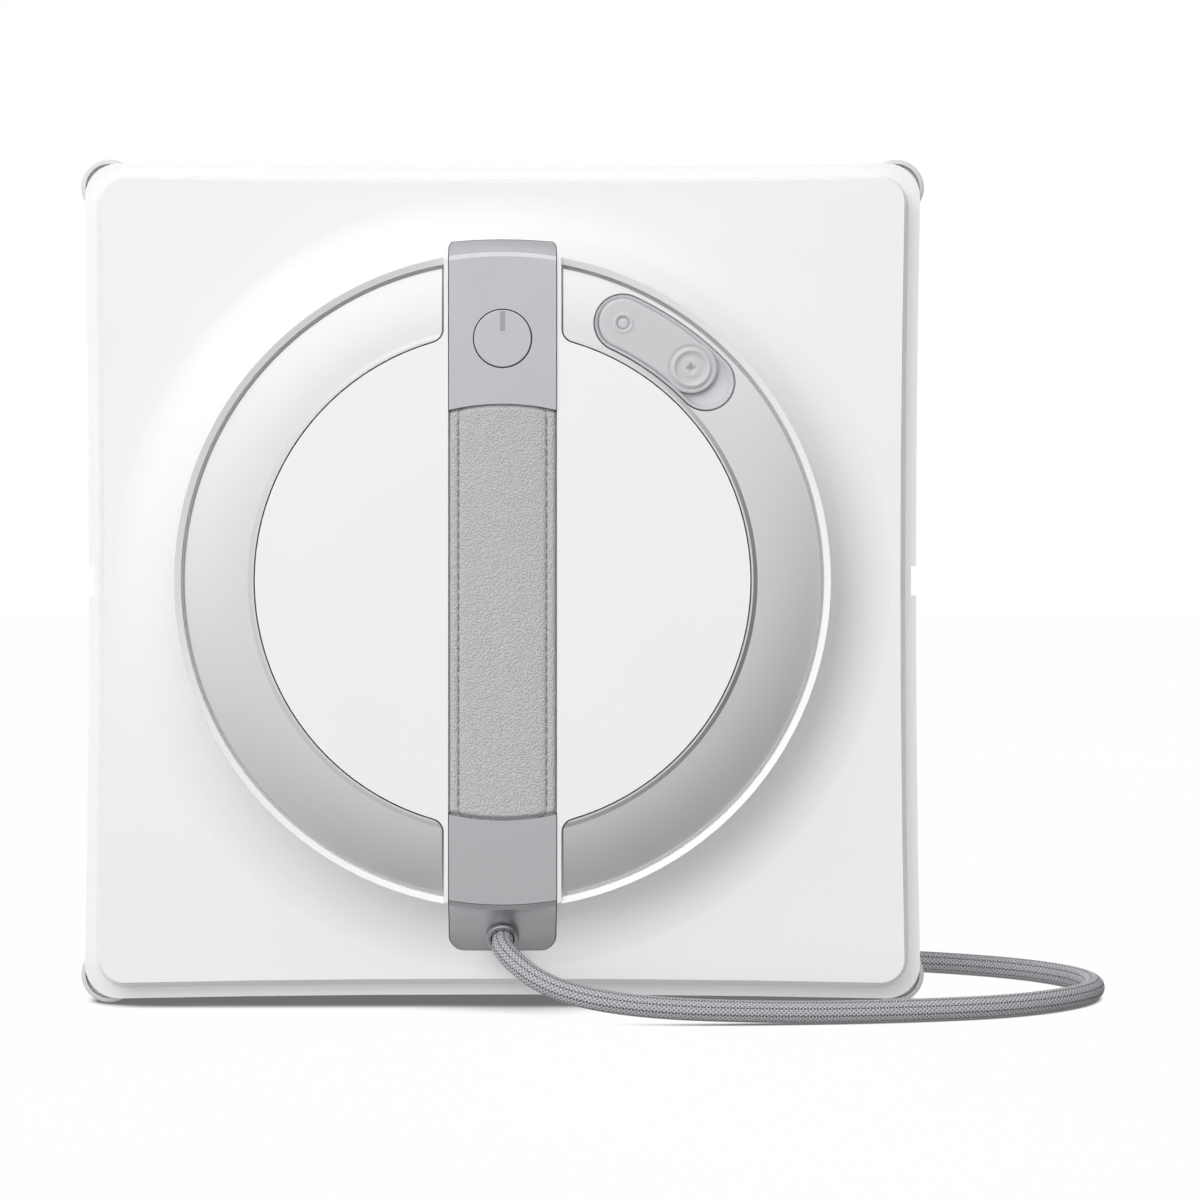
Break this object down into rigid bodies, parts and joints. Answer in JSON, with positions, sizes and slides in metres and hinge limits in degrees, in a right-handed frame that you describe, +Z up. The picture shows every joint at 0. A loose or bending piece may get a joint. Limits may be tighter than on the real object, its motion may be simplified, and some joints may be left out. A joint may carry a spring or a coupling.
{
  "type": "window cleaning robot",
  "caption": "Square suction window-cleaning robot with a leather carry strap, silver ring, corner rollers, crawler tracks, cleaning pad and a braided cord.",
  "frame": {"origin": "centre of the footprint on the floor, under the robot standing on its two lower corner rollers, cord left out", "axes": "+X to the right seen from the handle side, +Y from the handle side to the glass side, +Z up as it stands"},
  "size_m": [0.2945, 0.1855, 0.24],
  "materials": {
    "white_gloss": "gloss",
    "silver_satin": "satin",
    "grey_satin": "satin",
    "strap_leather": "grained",
    "button_silver": "satin",
    "light_bar": "gloss",
    "silicone": "translucent matte",
    "seat_grey": "matte",
    "roller_grey": "matte",
    "frame_grey": "matte",
    "pad_fabric": "microfibre",
    "seal_rubber": "matte",
    "belt_rubber": "matte",
    "wheel_plastic": "matte",
    "steel": "machined",
    "eyelet_metal": "satin",
    "cord_braid": "braided sleeve over copper",
    "plug_black": "matte",
    "inner_black": "matte",
    "clear_tank": "translucent",
    "hose_clear": "translucent",
    "board_green": "printed circuit board",
    "battery_wrap": "shrink wrap"
  },
  "bodies": {
    "robot": {"top_cover": "white_gloss", "base_frame": "white_gloss", "base_plate": "frame_grey", "pad_plate": "frame_grey", "cleaning_pad": "pad_fabric", "suction_seal": "seal_rubber", "inlet_grille": "inner_black", "case_screws": "steel", "ring_trim_right": "silver_satin", "ring_trim_left": "silver_satin", "handle_cap_upper": "grey_satin", "handle_cap_lower": "grey_satin", "cord_exit_cover": "grey_satin", "cord_eyelet": "eyelet_metal", "cord_clamp": "inner_black", "strap_end_upper": "strap_leather", "strap_end_lower": "strap_leather", "button_switch": "inner_black", "filler_seat": "seat_grey", "filler_anchor": "silicone", "water_tank": "clear_tank", "water_pump": "inner_black", "water_hoses": "hose_clear", "nozzle_right": "white_gloss", "nozzle_left": "white_gloss", "fan_volute": "inner_black", "fan_motor": "steel", "fan_bearings": "steel", "roller_pins": "steel", "battery_pack": "battery_wrap", "main_board": "board_green", "cord_tube": "cord_braid", "cord_tail": "cord_braid", "cord_coil": "cord_braid", "cord_plug": "plug_black", "track_belt_right": "belt_rubber", "track_frame_right": "inner_black", "gearmotor_right": "steel", "track_belt_left": "belt_rubber", "track_frame_left": "inner_black", "gearmotor_left": "steel"},
    "button": {"power_button": "button_silver", "button_light": "light_bar"},
    "strap": {"strap_grip": "strap_leather"},
    "flap": {"filler_flap": "silicone"},
    "fan_rotor": {"impeller": "wheel_plastic", "fan_shaft": "steel"},
    "drive_right": {"drive_wheel_right": "wheel_plastic"},
    "drive_left": {"drive_wheel_left": "wheel_plastic"},
    "idler_right": {"idler_wheel_right": "wheel_plastic"},
    "idler_left": {"idler_wheel_left": "wheel_plastic"},
    "collar": {"plug_collar": "plug_black"},
    "roller_top_right_body": {"roller_top_right": "roller_grey"},
    "sensor_top_right_body": {"edge_sensor_top_right": "inner_black"},
    "roller_bottom_right_body": {"roller_bottom_right": "roller_grey"},
    "sensor_bottom_right_body": {"edge_sensor_bottom_right": "inner_black"},
    "roller_top_left_body": {"roller_top_left": "roller_grey"},
    "sensor_top_left_body": {"edge_sensor_top_left": "inner_black"},
    "roller_bottom_left_body": {"roller_bottom_left": "roller_grey"},
    "sensor_bottom_left_body": {"edge_sensor_bottom_left": "inner_black"}
  },
  "joints": [
    {"name": "button_press", "type": "slide", "parent": "robot", "child": "button", "axis": [0, 1, 0], "range_m": [0, 0.001], "stiffness_N_per_m": 1500},
    {"name": "strap_lift", "type": "slide", "parent": "robot", "child": "strap", "axis": [0, -1, 0], "range_m": [0, 0.015], "stiffness_N_per_m": 900},
    {"name": "filler_open", "type": "hinge", "parent": "robot", "child": "flap", "pos_m": [0.03875, -0.0272, 0.1885], "axis": [-0.4924, 0, -0.8704], "range_deg": [0, 100]},
    {"name": "fan_spin", "type": "hinge", "parent": "robot", "child": "fan_rotor", "pos_m": [0, -0.005, 0.12], "axis": [0, 1, 0], "continuous": true},
    {"name": "drive_spin_right", "type": "hinge", "parent": "robot", "child": "drive_right", "pos_m": [0.059, 0.019, 0.068], "axis": [1, 0, 0], "continuous": true},
    {"name": "idler_spin_right", "type": "hinge", "parent": "robot", "child": "idler_right", "pos_m": [0.059, 0.019, 0.172], "axis": [1, 0, 0], "continuous": true},
    {"name": "drive_spin_left", "type": "hinge", "parent": "robot", "child": "drive_left", "pos_m": [-0.059, 0.019, 0.068], "axis": [1, 0, 0], "continuous": true},
    {"name": "idler_spin_left", "type": "hinge", "parent": "robot", "child": "idler_left", "pos_m": [-0.059, 0.019, 0.172], "axis": [1, 0, 0], "continuous": true},
    {"name": "roller_spin_top_right", "type": "hinge", "parent": "robot", "child": "roller_top_right_body", "pos_m": [0.112, 0.0045, 0.232], "axis": [0, 1, 0], "continuous": true},
    {"name": "roller_spin_bottom_right", "type": "hinge", "parent": "robot", "child": "roller_bottom_right_body", "pos_m": [0.112, 0.0045, 0.008], "axis": [0, 1, 0], "continuous": true},
    {"name": "roller_spin_top_left", "type": "hinge", "parent": "robot", "child": "roller_top_left_body", "pos_m": [-0.112, 0.0045, 0.232], "axis": [0, 1, 0], "continuous": true},
    {"name": "roller_spin_bottom_left", "type": "hinge", "parent": "robot", "child": "roller_bottom_left_body", "pos_m": [-0.112, 0.0045, 0.008], "axis": [0, 1, 0], "continuous": true},
    {"name": "edge_sensor_press_top_right", "type": "slide", "parent": "robot", "child": "sensor_top_right_body", "axis": [0, -1, 0], "range_m": [0, 0.0025], "stiffness_N_per_m": 400},
    {"name": "edge_sensor_press_bottom_right", "type": "slide", "parent": "robot", "child": "sensor_bottom_right_body", "axis": [0, -1, 0], "range_m": [0, 0.0025], "stiffness_N_per_m": 400},
    {"name": "edge_sensor_press_top_left", "type": "slide", "parent": "robot", "child": "sensor_top_left_body", "axis": [0, -1, 0], "range_m": [0, 0.0025], "stiffness_N_per_m": 400},
    {"name": "edge_sensor_press_bottom_left", "type": "slide", "parent": "robot", "child": "sensor_bottom_left_body", "axis": [0, -1, 0], "range_m": [0, 0.0025], "stiffness_N_per_m": 400},
    {"name": "collar_turn", "type": "hinge", "parent": "robot", "child": "collar", "pos_m": [-0.0265, 0.068, 0.0084], "axis": [-1, 0, 0], "range_deg": [0, 90]}
  ],
  "couplings": [
    {"joint": "idler_spin_right", "follows": "drive_spin_right", "ratio": 1},
    {"joint": "idler_spin_left", "follows": "drive_spin_left", "ratio": 1}
  ]
}
